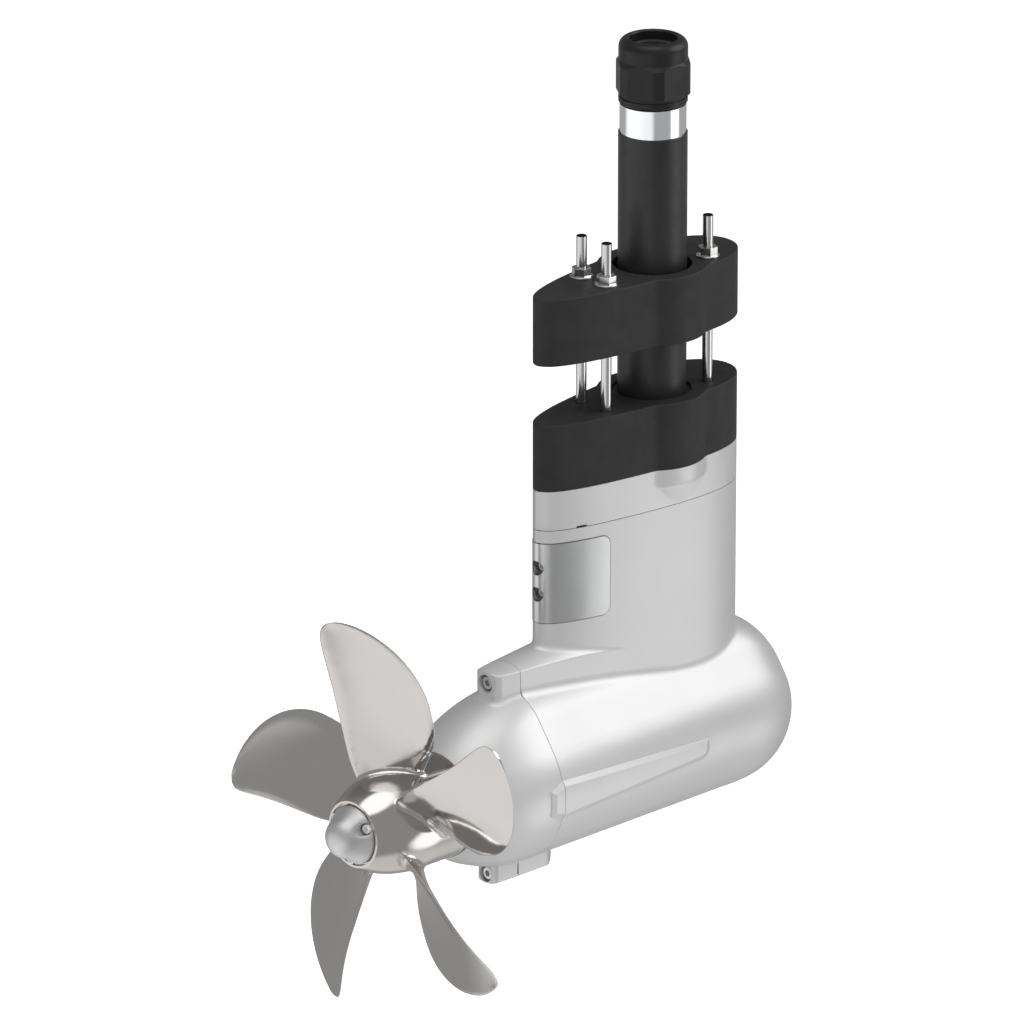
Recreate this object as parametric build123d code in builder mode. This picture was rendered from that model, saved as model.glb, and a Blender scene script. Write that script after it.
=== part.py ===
from build123d import *
import os
from math import asin, atan2, cos, pi, radians, sin, sqrt

# Electric pod drive for a boat: a motor pod on a faired strut, clamped through the hull.
# X points forward, Y to port, Z up, in millimetres.
# The origin is on the tube's axis, on the seat that the hull's outer face rests on.
os.makedirs("parts", exist_ok=True)

# Hull clamp
hull_gap = 46.4
block_height = 52.3
block_bulge_radius = 41.5
block_bulge_blend = 10
block_edge = 1
block_tube_radius = 30
stud_radius = 4
stud_clearance = 0.5
stud_top = 131.6
stud_root = 20
stud_point = 0.3
aft_stud_x = -61.9
aft_stud_y = 13.1
fore_stud_x = 39.9
fore_stud_y = 19.1
flange_nut_flats = 13
flange_nut_height = 8
flange_nut_flange_radius = 8.95
flange_nut_flange_height = 1.8
thread_clearance = 0.05

# Fairing outline shared by both blocks and the strut
outline_aft = 122.3
outline_fore = 80.8
outline_fullness = 34.2
outline_fore_bias = 5.4
outline_shoulder = 1.75
outline_steps = 12

# Mounting tube and cable gland
tube_radius = 25
tube_bore_radius = 20
tube_top = 224.6
tube_flange_radius = 31
tube_flange_height = 5
tube_seal_top = 2
tube_seal_height = 8
sleeve_radius = 26
sleeve_top = 202.2
gland_flange_radius = 26
gland_flange_height = 5.8
gland_flange_edge = 2
gland_gasket_radius = 25.2
gland_gasket_height = 2.9
gland_neck_radius = 22
gland_neck_height = 24
gland_spigot_length = 18
gland_bore_radius = 15.5
gland_cup_radius = 19.2
gland_cup_depth = 14
gland_nut_flats = 53.1
gland_nut_angle = 53.2
gland_nut_land_radius = 28.5
gland_nut_hex_height = 22.8
gland_nut_chamfer_height = 3
gland_nut_height = 41.9
gland_nut_dome_radius = 26
gland_nut_dome_edge = 7
gland_mouth_radius = 18
gland_mouth_edge = 1.2
gland_seal_radius = 19
claw_radius = 20
claw_bore_radius = 14.5
cable_radius = 14
gland_seal_height = 20
claw_height = 7
running_gap = 0.3

# Strut
cap_height = 30.5
cap_gasket_thickness = 0.5
cap_gasket_inset = 0.3
cap_boss_depth = 12
cap_boss_ledge = 0.3
cap_boss_foot_radius = 34
pry_slot_angle = 136
pry_slot_length = 8.5
pry_slot_height = 1.2
pry_slot_depth = 2.5
cable_way_radius = 16
cap_screw_radius = 3
cap_screw_length = 34
cap_screw_head_radius = 5
cap_screw_head_height = 6
cap_screw_places = ((-90, 0), (-35, 18), (-35, -18), (60, 0))
head_clearance = 0.5
anode_top = 93.4
anode_bottom = 156.6
anode_fore_x = -69.5
anode_corner = 7
anode_thickness = 3
anode_proud = 0.3
anode_web_x = -108
anode_joint = 0.4
anode_screw_depths = (113.3, 134.2)
anode_screw_recess_radius = 5.5
anode_screw_face_x = -116.5
small_screw_radius = 2
small_screw_head_radius = 3.5
small_screw_head_height = 4
small_screw_length = 18

# Pod shell
axis_depth = 273.9
pod_radius = 61.4
shoulder_rise = 31
shoulder_radius = 43.5
parting_x = -154
nose_start_x = 66
nose_length = 62.4
tail_x = -227
tail_radius = 40.6
tail_fullness_x = -160
tail_stretch = 90
tail_blend_steps = 7
strut_fillet = 10
flare_fillet = 6
flare_fore_x = -56
flare_overlap = 5
spine_fillet = 6
spine_aft_x = -176
spine_aft_half = 11.5
spine_mid_half = 15.5
spine_fore_x = -20
spine_fore_half = 32.4
spine_crown_radius = 30
spine_crown_height = 94.6
spine_slope = 5.6
spine_corner = 7
keel_aft_x = -176
keel_fore_x = -112
keel_half = 13.4
keel_crown_radius = 27
keel_depth = 78
keel_corner = 5
keel_aft_half = 9.5
keel_rake = 11
keel_fore_corner = 6
keel_slot_width = 0.8
keel_slot_height = 8
keel_slot_depth = 2.5
keel_slot_drop = 3.1
housing_bolt_radius = 3
housing_bolt_head_radius = 5
housing_bolt_head_height = 6
housing_bolt_length = 34
top_bolt_recess_radius = 7
bottom_bolt_recess_radius = 6
housing_bolt_recess = 8
top_bolt_drop = 12.1
bottom_bolt_rise = 7.5
pad_aft_x = -167
pad_fore_x = 0.8
pad_aft_half = 10
pad_mid_half = 15
pad_fore_half = 7.5
pad_raise = 2.1
pad_bevel = 1.4
pad_bevel_width = 4
pad_corner = 5
pod_wall = 5.4
nose_room_radius = 50
nose_room_x = 52
seam_gap = 0.4
seam_land_radius = 60
spigot_length = 8
spigot_radius_in = 50
housing_seal_width = 3
housing_seal_depth = 2
bearing_boss_radius = 32
bearing_boss_x = -170
pocket_radius = 50
pocket_aft_radius = 44
pocket_aft_x = -200
pocket_taper = 12
rib_count = 6
rib_thickness = 4
rib_setback = 2
edge_round = 1.5

# Motor
stack_aft_x = -125
stack_fore_x = -55
stator_bore_radius = 35
slot_count = 12
tooth_width = 9.5
slot_root_radius = 51
slot_mouth_radius = 37.5
slot_mouth_width = 3.2
coil_inner_radius = 39
coil_outer_radius = 50
coil_width = 4.4
coil_end = 10
magnet_count = 14
magnet_thickness = 3.3
magnet_space = 1.6
air_gap = 0.7
rotor_hole_count = 6
rotor_hole_radius = 5
rotor_hole_circle = 22
shaft_radius = 12.5
shaft_nose_radius = 10
shaft_step_x = -24
shaft_fore_x = -12
shaft_thread_radius = 8
shaft_thread_length = 24
shaft_point = 1
bearing_ball_radius = 3.97
bearing_groove_play = 0.12
aft_bearing_x = -182.5
aft_bearing_width = 15
aft_bearing_radius = 26
aft_ball_circle = 19.25
aft_ball_count = 9
fore_bearing_width = 14
fore_bearing_radius = 23.5
fore_ball_circle = 16.75
fore_ball_count = 8
race_gap = 1.9
cage_half = 1
cage_margin = 1
seal_radius = 21
seal_width = 7
seal_aft_x = -223
seal_spacing = 11
lip_clearance = 0.06
clip_width = 1.6
clip_depth = 1.6
clip_reach = 3
bracket_aft_x = -24
bracket_thickness = 8
bracket_boss_radius = 29
bracket_boss_length = 16
bracket_lip_radius = 19
bracket_screw_circle = 53
bracket_screw_count = 4
bracket_screw_radius = 1.6
bracket_screw_head_radius = 2.8
bracket_screw_head_height = 3
bracket_screw_length = 18

# Controller in the nose
board_x = 20
board_radius = 44
board_thickness = 1.6
post_radius = 3
post_circle = 37
post_count = 3
lead_radius = 2.5
lead_hole_radius = 4
lead_circle = 41
lead_count = 3
lead_angle = 60
post_angle = 30
terminal_size = (8, 10, 12)
terminal_height = 34
terminal_spacing = 14
encoder_board_radius = 27
encoder_chip_side = 5
encoder_chip_height = 1.2
encoder_magnet_radius = 4
encoder_magnet_height = 2
capacitor_count = 4
capacitor_radius = 7
capacitor_height = 20
capacitor_circle = 16
module_count = 6
module_size = (10, 15, 4.5)
module_circle = 31

# Propeller
prop_radius = 156.1
prop_phase = 1.9
pitch_root = 238.7
pitch_tip = 272.2
hub_root_radius = 36
chord_terms = (49.6, 90.1, -52.5, -20.8)
skew_terms = (-10.6, 10.4, 16.3)
blade_x = -274.1
rake_terms = (-6.3, -8.8)
blade_count = 5
blade_root_thickness = 9
blade_tip_thickness = 2.2
blade_camber = 0.035
hub_aft_x = -314
hub_fore_x = -229
hub_radius = 40.4
hub_aft_radius = 25.9
hub_fullness_x = -262
hub_lip_radius = 24
hub_lip_depth = 3
hub_nut_room_radius = 16
hub_nut_room_depth = 35
blade_root_fillet = 4
blade_inner_height = 26
blade_sections = 9
blade_outer_share = 86
blade_points = 7
blade_edge_power = 0.6
cone_radius = 22.8
cone_flange = 3.5
cone_shoulder = (15.4, 11.3)
cone_length = 21
cone_screw_circle = 19.2
cone_screw_count = 3
cone_pocket_radius = 4.6
cone_screw_floor = 2
cone_screw_length = 14
cone_nose = 2.2
prop_nut_flats = 24
prop_nut_height = 16
prop_washer_radius = 15
prop_washer_thickness = 2.5
drive_pin_radius = 4
drive_pin_length = 52
drive_pin_setback = 7

motor_axis = Axis((0, 0, -axis_depth), (1, 0, 0))
motor_profile = Plane(origin=(0, 0, -axis_depth), x_dir=(1, 0, 0), z_dir=(0, -1, 0))
top_bolt_height = spine_crown_height - top_bolt_drop
bottom_bolt_depth = keel_depth - bottom_bolt_rise
shaft_thread_x = hub_aft_x + hub_nut_room_depth
shaft_aft_x = shaft_thread_x - shaft_thread_length
drive_pin_x = hub_fore_x - drive_pin_setback
hull_face = 0
upper_block_bottom = hull_gap
upper_block_top = hull_gap + block_height
cap_top = -block_height
cap_bottom = cap_top - cap_height
strut_top = cap_bottom - cap_gasket_thickness
stud_places = [
    (aft_stud_x, aft_stud_y),
    (aft_stud_x, -aft_stud_y),
    (fore_stud_x, fore_stud_y),
    (fore_stud_x, -fore_stud_y),
]


def station(x):
    """The plane across the motor axis at x, with local x to port and local y up."""
    return Plane(origin=(x, 0, -axis_depth), x_dir=(0, 1, 0), z_dir=(1, 0, 0))


def ring_face(x_aft, x_fore, r_in, r_out):
    """A rectangle beside the motor axis, to be turned into a ring."""
    with BuildSketch(motor_profile, mode=Mode.PRIVATE) as face:
        with Locations(((x_aft + x_fore) / 2, (r_in + r_out) / 2)):
            Rectangle(x_fore - x_aft, r_out - r_in)
    return face.sketch


def tower_face(z_low, z_high, r_in, r_out):
    """A rectangle beside the tube's axis, to be turned into a ring."""
    with BuildSketch(Plane.XZ, mode=Mode.PRIVATE) as face:
        with Locations(((r_in + r_out) / 2, (z_low + z_high) / 2)):
            Rectangle(r_out - r_in, z_high - z_low)
    return face.sketch


def half_width(angle):
    """Half the fairing's width, with angle 0 at its fore tip and pi at its aft tip."""
    return (
        outline_fullness * sin(angle)
        + outline_fore_bias * sin(2 * angle)
        + outline_shoulder * sin(3 * angle)
    )


def half_width_rate(angle):
    """How fast the half width grows with the angle."""
    return (
        outline_fullness * cos(angle)
        + 2 * outline_fore_bias * cos(2 * angle)
        + 3 * outline_shoulder * cos(3 * angle)
    )


def starboard_point(angle):
    """The place on the fairing's starboard side at an angle."""
    middle = (outline_fore - outline_aft) / 2
    half_chord = (outline_fore + outline_aft) / 2
    return middle + half_chord * cos(angle), -half_width(angle)


def fairing(z, inset=0):
    """The fairing's outline on the level z, moved inwards by the inset."""
    middle = (outline_fore - outline_aft) / 2
    half_chord = (outline_fore + outline_aft) / 2
    points = []
    for step in range(2 * outline_steps):
        angle = step * pi / outline_steps
        along = half_chord * sin(angle)
        across = half_width_rate(angle)
        length = sqrt(along**2 + across**2)
        x = middle + half_chord * cos(angle) - inset * across / length
        y = half_width(angle) - inset * along / length
        points.append((x, y))
    with BuildSketch(Plane.XY.offset(z), mode=Mode.PRIVATE) as outline:
        with BuildLine():
            Spline(*points, periodic=True)
        make_face()
    return outline.sketch


def block_outline(z):
    """The fairing with a round bulge about the tube."""
    with BuildSketch(Plane.XY.offset(z), mode=Mode.PRIVATE) as outline:
        add(fairing(0))
        Circle(block_bulge_radius)
        junctions = outline.vertices().filter_by(lambda corner: abs(corner.Y) > block_tube_radius / 2)
        fillet(junctions, block_bulge_blend)
    return outline.sketch


def pod_section(x, radius=pod_radius, share=1.0, scale=1.0):
    """A round section with a narrower round shoulder above, joined by tangent flanks."""
    low_radius = radius * scale
    rise = shoulder_rise * share * scale
    high_radius = low_radius - (pod_radius - shoulder_radius) * share * scale
    tilt = asin((low_radius - high_radius) / rise)
    low = (low_radius * cos(tilt), low_radius * sin(tilt))
    high = (high_radius * cos(tilt), rise + high_radius * sin(tilt))
    with BuildSketch(station(x), mode=Mode.PRIVATE) as section:
        with BuildLine():
            ThreePointArc((-low[0], low[1]), (0, -low_radius), low)
            Line(low, high)
            ThreePointArc(high, (0, rise + high_radius), (-high[0], high[1]))
            Line((-high[0], high[1]), (-low[0], low[1]))
        make_face()
    return section.sketch


def tail_section(x):
    """The aft housing's section: the pod's own at the parting plane, round at its aft end."""
    share = (x - tail_x) / (parting_x - tail_x)
    reach = max(tail_fullness_x - x, 0) / tail_stretch
    radius = pod_radius * sqrt(1 - reach**2)
    return pod_section(x, radius, max(share, 0.03))


def spine_plan(z, x_fore):
    """The spine's outline on the level z, from its rounded aft end to x_fore."""
    share = (x_fore - parting_x) / (spine_fore_x - parting_x)
    half = spine_mid_half + (spine_fore_half - spine_mid_half) * share
    with BuildSketch(Plane.XY.offset(z), mode=Mode.PRIVATE) as plan:
        with BuildLine():
            Polyline(
                (x_fore, half),
                (parting_x, spine_mid_half),
                (spine_aft_x, spine_aft_half),
                (spine_aft_x, -spine_aft_half),
                (parting_x, -spine_mid_half),
                (x_fore, -half),
                close=True,
            )
        make_face()
        fillet(plan.vertices().group_by(Axis.X)[0], spine_corner)
    return plan.sketch


# Outer form of the whole shell, cut at the parting plane further down
crown_plane = Plane(
    origin=(parting_x, 0, spine_crown_height - axis_depth),
    x_dir=(0, 1, 0),
    z_dir=(cos(radians(spine_slope)), 0, sin(radians(spine_slope))),
)
with BuildPart() as crown:
    with BuildSketch(crown_plane):
        with Locations((0, -spine_crown_radius)):
            Circle(spine_crown_radius)
            Rectangle(2 * spine_crown_radius, axis_depth, align=(Align.CENTER, Align.MAX))
    extrude(amount=outline_aft, both=True)

with BuildPart() as spine:
    extrude(spine_plan(-axis_depth, spine_fore_x), amount=axis_depth + strut_top)
    add(crown.part, mode=Mode.INTERSECT)

# Round corner between the strut and the spine's top, kept down to the pod's shoulder
with BuildPart() as crown_slab:
    with BuildSketch(Plane.XY.offset(-axis_depth)):
        with Locations((spine_aft_x, 0)):
            Rectangle(-spine_aft_x, 4 * spine_crown_radius, align=(Align.MIN, Align.CENTER))
    extrude(amount=axis_depth + strut_top)
    add(crown.part, mode=Mode.INTERSECT)

with BuildPart() as flare:
    extrude(fairing(strut_top), amount=axis_depth + strut_top, dir=(0, 0, -1))
    add(crown_slab.part)
    corner = flare.edges().filter_by(lambda edge: edge.bounding_box().size.X > outline_fullness)
    corner = corner.filter_by(lambda edge: edge.bounding_box().size.Y > outline_fullness)
    corner = corner.filter_by(lambda edge: edge.bounding_box().max.Z < -anode_bottom + flare_fillet)
    corner = corner.filter_by(lambda edge: edge.bounding_box().min.Z > shoulder_rise - axis_depth)
    fillet(corner, flare_fillet)
    flare_floor = shoulder_rise + shoulder_radius - flare_overlap - axis_depth
    extrude(spine_plan(flare_floor, flare_fore_x), amount=shoulder_radius, mode=Mode.INTERSECT)

with BuildPart() as keel:
    with BuildSketch(Plane.XY.offset(-axis_depth)) as keel_plan:
        with BuildLine():
            Polyline(
                (keel_fore_x - keel_half, keel_half),
                (parting_x, keel_half),
                (keel_aft_x, keel_aft_half),
                (keel_aft_x, -keel_aft_half),
                (parting_x, -keel_half),
                (keel_fore_x - keel_half, -keel_half),
                close=True,
            )
        make_face()
        fillet(keel_plan.vertices().group_by(Axis.X)[0], keel_corner)
        with Locations((keel_fore_x - keel_half, 0)):
            Circle(keel_half)
    extrude(amount=-keel_depth)
    with BuildSketch(station(parting_x)):
        with Locations((0, keel_crown_radius - keel_depth)):
            Circle(keel_crown_radius)
            Rectangle(2 * keel_crown_radius, keel_depth, align=(Align.CENTER, Align.MIN))
    extrude(amount=keel_fore_x - keel_aft_x, both=True, mode=Mode.INTERSECT)
    with BuildSketch(Plane.XZ):
        with Locations((0, -axis_depth)):
            Polygon(
                (keel_fore_x, 0),
                (keel_fore_x, -pod_radius),
                (keel_fore_x - keel_rake, -keel_depth - keel_corner / 2),
                (keel_aft_x - keel_corner, -keel_depth - keel_corner / 2),
                (keel_aft_x - keel_corner, 0),
                align=None,
            )
    extrude(amount=2 * keel_half, both=True, mode=Mode.INTERSECT)
    keel_floor = -keel_depth - axis_depth
    toe = keel.edges().filter_by(lambda edge: edge.bounding_box().min.Z < keel_floor + edge_round)
    toe = toe.filter_by(lambda edge: edge.bounding_box().min.X > parting_x)
    fillet(toe, keel_fore_corner)
    pod_floor = -pod_radius - axis_depth
    sole = keel.edges().filter_by(lambda edge: edge.bounding_box().max.Z < pod_floor - edge_round)
    fillet(sole, edge_round)

# Bare pad for a nameplate on the starboard flank, crossed by the parting plane
with BuildPart() as pad:
    with BuildSketch(Plane.XZ.offset(pod_radius / 2)):
        with Locations((0, -axis_depth)):
            Polygon(
                (pad_aft_x, pad_aft_half),
                (parting_x, pad_mid_half),
                (pad_fore_x, pad_fore_half),
                (pad_fore_x, -pad_fore_half + pad_corner),
                (pad_fore_x - pad_corner, -pad_fore_half),
                (parting_x, -pad_mid_half),
                (pad_aft_x, -pad_aft_half),
                align=None,
            )
    extrude(amount=pod_radius)
    pad_radius = pod_radius + pad_raise
    revolve(ring_face(pad_aft_x, pad_fore_x, 0, pad_radius), axis=motor_axis, mode=Mode.INTERSECT)
    pad_face = pad.faces().sort_by(Axis.Y)[0]
    chamfer(pad_face.edges(), pad_bevel_width, pad_bevel, reference=pad_face)

nose_angles = (18, 36, 52, 65, 75, 82, 87)
barrel_steps = 11


def runs_along(edge):
    """True for an edge that runs some way along the pod, so not one of the parting plane's own."""
    return edge.bounding_box().size.X > 0.5


def between(edges, low, high):
    """The running edges that lie wholly between two heights above the motor axis."""
    chosen = edges.filter_by(runs_along)
    chosen = chosen.filter_by(lambda edge: edge.bounding_box().min.Z > low - axis_depth)
    return chosen.filter_by(lambda edge: edge.bounding_box().max.Z < high - axis_depth)


def socket_screw(radius, length, head_radius, head_height):
    """A socket-head screw with its head's seat at the origin and its shank down the Z axis."""
    with BuildPart(mode=Mode.PRIVATE) as screw:
        Cylinder(head_radius, head_height, align=(Align.CENTER, Align.CENTER, Align.MIN))
        fillet(screw.edges().sort_by(Axis.Z)[-1], head_height / 10)
        Cylinder(radius, length, align=(Align.CENTER, Align.CENTER, Align.MAX))
        chamfer(screw.edges().sort_by(Axis.Z)[0], radius / 5)
        with BuildSketch(Plane.XY.offset(head_height)):
            RegularPolygon(head_radius / 2, 6)
        extrude(amount=-head_height / 2, mode=Mode.SUBTRACT)
    return screw.part


def bolt_plane(height, recess):
    """The plane of a housing bolt's head seat, with its normal pointing aft."""
    return Plane(origin=(spine_aft_x + recess, 0, height - axis_depth), x_dir=(0, 1, 0), z_dir=(-1, 0, 0))


cavity_radius = pod_radius - pod_wall
bolt_planes = [
    bolt_plane(top_bolt_height, housing_bolt_recess),
    bolt_plane(-bottom_bolt_depth, housing_bolt_recess),
]
bolt_recess_radii = [top_bolt_recess_radius, bottom_bolt_recess_radius]

# Strut anode and the bay it sits in
def side_panel(grow):
    """The strut anode's outline from the side, rounded at its fore corners."""
    with BuildSketch(Plane.XZ, mode=Mode.PRIVATE) as panel:
        with Locations((anode_fore_x + grow, -(anode_top + anode_bottom) / 2)):
            RectangleRounded(
                2 * (anode_fore_x + outline_aft),
                anode_bottom - anode_top + 2 * grow,
                anode_corner + grow,
                align=(Align.MAX, Align.CENTER),
            )
    return panel.sketch


with BuildPart() as anode_core:
    bay_height = anode_bottom - anode_top + 2 * anode_joint
    extrude(fairing(-anode_bottom - anode_joint, anode_thickness), amount=bay_height)
    split(bisect_by=Plane.YZ.offset(anode_web_x), keep=Keep.TOP)

with BuildPart() as anode_bay:
    extrude(side_panel(anode_joint), amount=2 * outline_fullness, both=True)
    add(anode_core.part, mode=Mode.SUBTRACT)

anode_screw_seat = anode_screw_face_x + small_screw_head_height
anode_screw_planes = [
    Plane(origin=(anode_screw_seat, 0, -depth), x_dir=(0, 1, 0), z_dir=(-1, 0, 0))
    for depth in anode_screw_depths
]
with BuildPart() as strut_anode:
    extrude(fairing(-anode_bottom, -anode_proud), amount=anode_bottom - anode_top)
    extrude(side_panel(0), amount=2 * outline_fullness, both=True, mode=Mode.INTERSECT)
    add(anode_core.part, mode=Mode.SUBTRACT)
    with Locations(*anode_screw_planes):
        Cylinder(
            anode_screw_recess_radius,
            outline_aft,
            align=(Align.CENTER, Align.CENTER, Align.MIN),
            mode=Mode.SUBTRACT,
        )
        Cylinder(small_screw_radius, outline_aft, mode=Mode.SUBTRACT)

anode_screw = socket_screw(
    small_screw_radius,
    small_screw_length,
    small_screw_head_radius,
    small_screw_head_height,
)
with BuildPart() as strut_anode_screws:
    with Locations(*anode_screw_planes):
        add(anode_screw)

# Pod housing with the strut
with BuildPart() as pod_housing:
    barrel_step = (nose_start_x - parting_x) / barrel_steps
    pod_sections = [pod_section(parting_x + barrel_step * i) for i in range(barrel_steps + 1)]
    for angle in nose_angles:
        nose_x = nose_start_x + nose_length * sin(radians(angle))
        roundness = cos(radians(angle))
        pod_sections.append(pod_section(nose_x, share=roundness, scale=roundness))
    loft(pod_sections)
    extrude(fairing(strut_top), amount=axis_depth + strut_top - shoulder_rise, dir=(0, 0, -1))
    add(spine.part)
    add(keel.part)
    add(pad.part)
    split(bisect_by=station(parting_x), keep=Keep.TOP)
    fillet(between(pod_housing.edges(), shoulder_rise, shoulder_rise + shoulder_radius + 1), strut_fillet)
    fillet(between(pod_housing.edges(), -pod_radius, -pod_radius + keel_half), edge_round)
    add(flare.part)
    split(bisect_by=station(parting_x), keep=Keep.TOP)
    ridges = between(pod_housing.edges(), shoulder_rise + shoulder_radius, spine_crown_height)
    fillet(ridges.filter_by(lambda edge: edge.length > (flare_fore_x - parting_x) / 2), edge_round)
    bracket_seat_x = bracket_aft_x + bracket_thickness
    revolve(ring_face(parting_x, bracket_seat_x, 0, cavity_radius), axis=motor_axis, mode=Mode.SUBTRACT)
    revolve(ring_face(parting_x, nose_room_x, 0, nose_room_radius), axis=motor_axis, mode=Mode.SUBTRACT)
    with Locations((0, 0, strut_top)):
        Cylinder(
            cable_way_radius,
            axis_depth + strut_top,
            align=(Align.CENTER, Align.CENTER, Align.MAX),
            mode=Mode.SUBTRACT,
        )
    with Locations(*[(x, y, cap_top - head_clearance - cap_screw_head_height) for x, y in cap_screw_places]):
        Cylinder(
            cap_screw_radius,
            cap_screw_length,
            align=(Align.CENTER, Align.CENTER, Align.MAX),
            mode=Mode.SUBTRACT,
        )
    add(anode_bay.part, mode=Mode.SUBTRACT)
    with Locations(*anode_screw_planes):
        Cylinder(
            small_screw_radius,
            small_screw_length,
            align=(Align.CENTER, Align.CENTER, Align.MAX),
            mode=Mode.SUBTRACT,
        )
    with Locations(*bolt_planes):
        Cylinder(
            housing_bolt_radius,
            housing_bolt_length,
            align=(Align.CENTER, Align.CENTER, Align.MAX),
            mode=Mode.SUBTRACT,
        )
    with BuildSketch(station(bracket_aft_x)):
        with PolarLocations(bracket_screw_circle, bracket_screw_count, start_angle=45):
            Circle(bracket_screw_radius)
    extrude(amount=bracket_screw_length, mode=Mode.SUBTRACT)

# Aft housing with the aft bearing's seat and the seals' bore
bearing_aft_face = aft_bearing_x - aft_bearing_width / 2
bearing_fore_face = aft_bearing_x + aft_bearing_width / 2
with BuildPart() as ribs:
    with BuildSketch(station(pocket_aft_x)):
        with PolarLocations(0, rib_count, start_angle=30):
            with Locations(((bearing_boss_radius + pocket_radius) / 2, 0)):
                Rectangle(pocket_radius - bearing_boss_radius + rib_setback, rib_thickness)
    extrude(amount=bearing_boss_x - rib_setback - pocket_aft_x)

with BuildPart() as aft_housing:
    tail_step = (parting_x - tail_x) / (tail_blend_steps - 1)
    loft([tail_section(tail_x + tail_step * i) for i in range(tail_blend_steps)])
    add(spine.part)
    add(keel.part)
    add(pad.part)
    split(bisect_by=station(parting_x - seam_gap), keep=Keep.BOTTOM)
    shoulder_top = shoulder_rise + shoulder_radius
    fillet(between(aft_housing.edges(), shoulder_top - shoulder_radius / 2, shoulder_top + 1), spine_fillet)
    fillet(between(aft_housing.edges(), top_bolt_height, axis_depth), edge_round)
    revolve(ring_face(parting_x - seam_gap, parting_x + spigot_length, 0, cavity_radius), axis=motor_axis)
    revolve(ring_face(parting_x - seam_gap, parting_x, 0, seam_land_radius), axis=motor_axis)
    spigot_end = parting_x + spigot_length
    revolve(ring_face(bearing_boss_x, spigot_end, 0, spigot_radius_in), axis=motor_axis, mode=Mode.SUBTRACT)
    with BuildSketch(motor_profile):
        with BuildLine():
            Polyline(
                (bearing_boss_x, bearing_boss_radius),
                (bearing_boss_x, pocket_radius),
                (pocket_aft_x + pocket_taper, pocket_radius),
                (pocket_aft_x, pocket_aft_radius),
                (pocket_aft_x, bearing_boss_radius),
                close=True,
            )
        make_face()
    revolve(axis=motor_axis, mode=Mode.SUBTRACT)
    add(ribs.part)
    revolve(ring_face(tail_x, bearing_aft_face, 0, seal_radius), axis=motor_axis, mode=Mode.SUBTRACT)
    revolve(
        ring_face(bearing_aft_face, bearing_boss_x, 0, aft_bearing_radius),
        axis=motor_axis,
        mode=Mode.SUBTRACT,
    )
    revolve(
        ring_face(bearing_fore_face, bearing_fore_face + clip_width, 0, aft_bearing_radius + clip_depth),
        axis=motor_axis,
        mode=Mode.SUBTRACT,
    )
    seal_start = parting_x + (spigot_length - housing_seal_width) / 2
    seal_end = seal_start + housing_seal_width
    revolve(
        ring_face(seal_start, seal_end, cavity_radius - housing_seal_depth, cavity_radius),
        axis=motor_axis,
        mode=Mode.SUBTRACT,
    )
    with Locations((parting_x - seam_gap, -keel_half, -pod_radius - keel_slot_drop - axis_depth)):
        Box(
            keel_slot_width,
            2 * keel_slot_depth,
            keel_slot_height,
            align=(Align.MAX, Align.CENTER, Align.MAX),
            mode=Mode.SUBTRACT,
        )
    for seat, recess_radius in zip(bolt_planes, bolt_recess_radii):
        with Locations(seat):
            Cylinder(
                recess_radius,
                pod_radius,
                align=(Align.CENTER, Align.CENTER, Align.MIN),
                mode=Mode.SUBTRACT,
            )
            Cylinder(housing_bolt_radius, pod_radius, mode=Mode.SUBTRACT)

housing_bolt = socket_screw(
    housing_bolt_radius,
    housing_bolt_length,
    housing_bolt_head_radius,
    housing_bolt_head_height,
)
with BuildPart() as housing_bolts:
    with Locations(*bolt_planes):
        add(housing_bolt)

with BuildPart() as housing_seal:
    revolve(
        ring_face(seal_start, seal_end, cavity_radius - housing_seal_depth, cavity_radius),
        axis=motor_axis,
    )

# Strut cap, gasket and screws
with BuildPart() as strut_cap:
    extrude(fairing(cap_bottom), amount=cap_height)
    extrude(block_outline(cap_top), amount=-cap_boss_depth)
    with Locations((0, 0, cap_bottom)):
        Cone(
            cap_boss_foot_radius,
            block_bulge_radius - cap_boss_ledge,
            cap_height - cap_boss_depth,
            align=(Align.CENTER, Align.CENTER, Align.MIN),
        )
    with Locations((*starboard_point(radians(pry_slot_angle)), cap_bottom)):
        Box(
            pry_slot_length,
            3 * pry_slot_depth,
            pry_slot_height,
            align=(Align.CENTER, Align.CENTER, Align.MIN),
            mode=Mode.SUBTRACT,
        )
    Cylinder(tube_radius, 2 * axis_depth, mode=Mode.SUBTRACT)
    with Locations((0, 0, cap_bottom)):
        Cylinder(
            tube_flange_radius,
            tube_flange_height,
            align=(Align.CENTER, Align.CENTER, Align.MIN),
            mode=Mode.SUBTRACT,
        )
    with Locations(*[(x, y, cap_top) for x, y in stud_places]):
        Cylinder(stud_radius, stud_root, align=(Align.CENTER, Align.CENTER, Align.MAX), mode=Mode.SUBTRACT)
    with Locations(*[(x, y, cap_top) for x, y in cap_screw_places]):
        Cylinder(
            cap_screw_head_radius + head_clearance,
            cap_screw_head_height + head_clearance,
            align=(Align.CENTER, Align.CENTER, Align.MAX),
            mode=Mode.SUBTRACT,
        )
        Cylinder(cap_screw_radius, 3 * cap_height, mode=Mode.SUBTRACT)

with BuildPart() as cap_gasket:
    extrude(fairing(strut_top, cap_gasket_inset), amount=cap_gasket_thickness)
    with Locations((0, 0, strut_top)):
        Cylinder(tube_bore_radius, cap_height, mode=Mode.SUBTRACT)
    with Locations(*[(x, y, strut_top) for x, y in cap_screw_places]):
        Cylinder(cap_screw_radius, cap_height, mode=Mode.SUBTRACT)

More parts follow.
